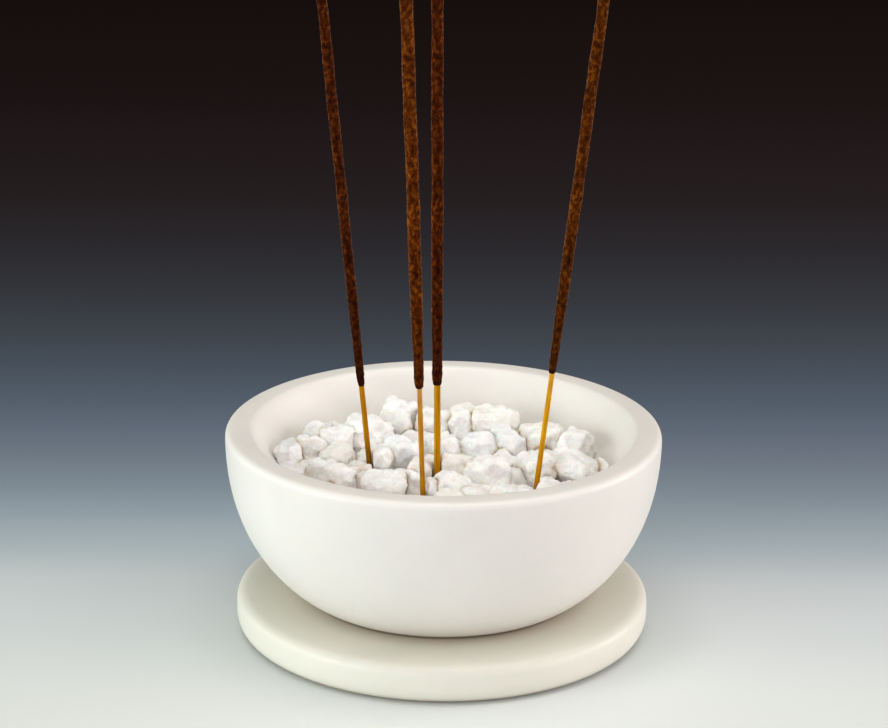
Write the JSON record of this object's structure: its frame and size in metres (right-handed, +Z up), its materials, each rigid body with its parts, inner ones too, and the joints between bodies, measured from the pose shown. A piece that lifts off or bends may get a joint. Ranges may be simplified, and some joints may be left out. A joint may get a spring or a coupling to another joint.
{
  "type": "incense burner",
  "caption": "Thick round marble bowl on a flat marble coaster, filled with crushed marble that holds upright bamboo-cored incense sticks and catches their ash.",
  "frame": {"origin": "centre of the coaster's underside, on the table that the burner stands on", "axes": "+Z up along the common axis of coaster and bowl; -Y towards the front, where the sticks stand nearest to the viewer; +X to the right seen from the front"},
  "size_m": [0.114, 0.114, 0.2627],
  "materials": {
    "honed_marble": "satin",
    "crushed_marble": "matte",
    "bamboo": "satin",
    "incense_paste": "matte"
  },
  "bodies": {
    "coaster": {"coaster": "honed_marble"},
    "bowl": {"bowl": "honed_marble"},
    "chips": {"chip_bed": "crushed_marble", "chip_01": "crushed_marble", "chip_02": "crushed_marble", "chip_03": "crushed_marble", "chip_04": "crushed_marble", "chip_05": "crushed_marble", "chip_06": "crushed_marble", "chip_07": "crushed_marble", "chip_08": "crushed_marble", "chip_09": "crushed_marble", "chip_10": "crushed_marble", "chip_11": "crushed_marble", "chip_12": "crushed_marble", "chip_13": "crushed_marble", "chip_14": "crushed_marble", "chip_15": "crushed_marble", "chip_16": "crushed_marble", "chip_17": "crushed_marble", "chip_18": "crushed_marble", "chip_19": "crushed_marble", "chip_20": "crushed_marble", "chip_21": "crushed_marble", "chip_22": "crushed_marble", "chip_23": "crushed_marble", "chip_24": "crushed_marble", "chip_25": "crushed_marble", "chip_26": "crushed_marble", "chip_27": "crushed_marble", "chip_28": "crushed_marble", "chip_29": "crushed_marble", "chip_30": "crushed_marble", "chip_31": "crushed_marble", "chip_32": "crushed_marble", "chip_33": "crushed_marble", "chip_34": "crushed_marble", "chip_35": "crushed_marble", "chip_36": "crushed_marble", "chip_37": "crushed_marble", "chip_38": "crushed_marble", "chip_39": "crushed_marble", "chip_40": "crushed_marble", "chip_41": "crushed_marble", "chip_42": "crushed_marble", "chip_43": "crushed_marble", "chip_44": "crushed_marble", "chip_45": "crushed_marble", "chip_46": "crushed_marble", "chip_47": "crushed_marble", "chip_48": "crushed_marble", "chip_49": "crushed_marble"},
    "stick_1": {"stick_1_core": "bamboo", "stick_1_coat": "incense_paste"},
    "stick_2": {"stick_2_core": "bamboo", "stick_2_coat": "incense_paste"},
    "stick_3": {"stick_3_core": "bamboo", "stick_3_coat": "incense_paste"},
    "stick_4": {"stick_4_core": "bamboo", "stick_4_coat": "incense_paste"}
  },
  "joints": [
    {"name": "bowl_lift", "type": "slide", "parent": "coaster", "child": "bowl", "axis": [0, 0, 1], "range_m": [0, 0.06]},
    {"name": "chips_lift", "type": "slide", "parent": "bowl", "child": "chips", "axis": [0, 0, 1], "range_m": [0, 0.05]},
    {"name": "stick_1_pull", "type": "slide", "parent": "chips", "child": "stick_1", "axis": [-0.0995, 0.0298, 0.9946], "range_m": [0, 0.06]},
    {"name": "stick_2_pull", "type": "slide", "parent": "chips", "child": "stick_2", "axis": [-0.0379, -0.0449, 0.9983], "range_m": [0, 0.06]},
    {"name": "stick_3_pull", "type": "slide", "parent": "chips", "child": "stick_3", "axis": [-0.009, 0.035, 0.9993], "range_m": [0, 0.06]},
    {"name": "stick_4_pull", "type": "slide", "parent": "chips", "child": "stick_4", "axis": [0.1063, -0.0298, 0.9939], "range_m": [0, 0.06]}
  ]
}
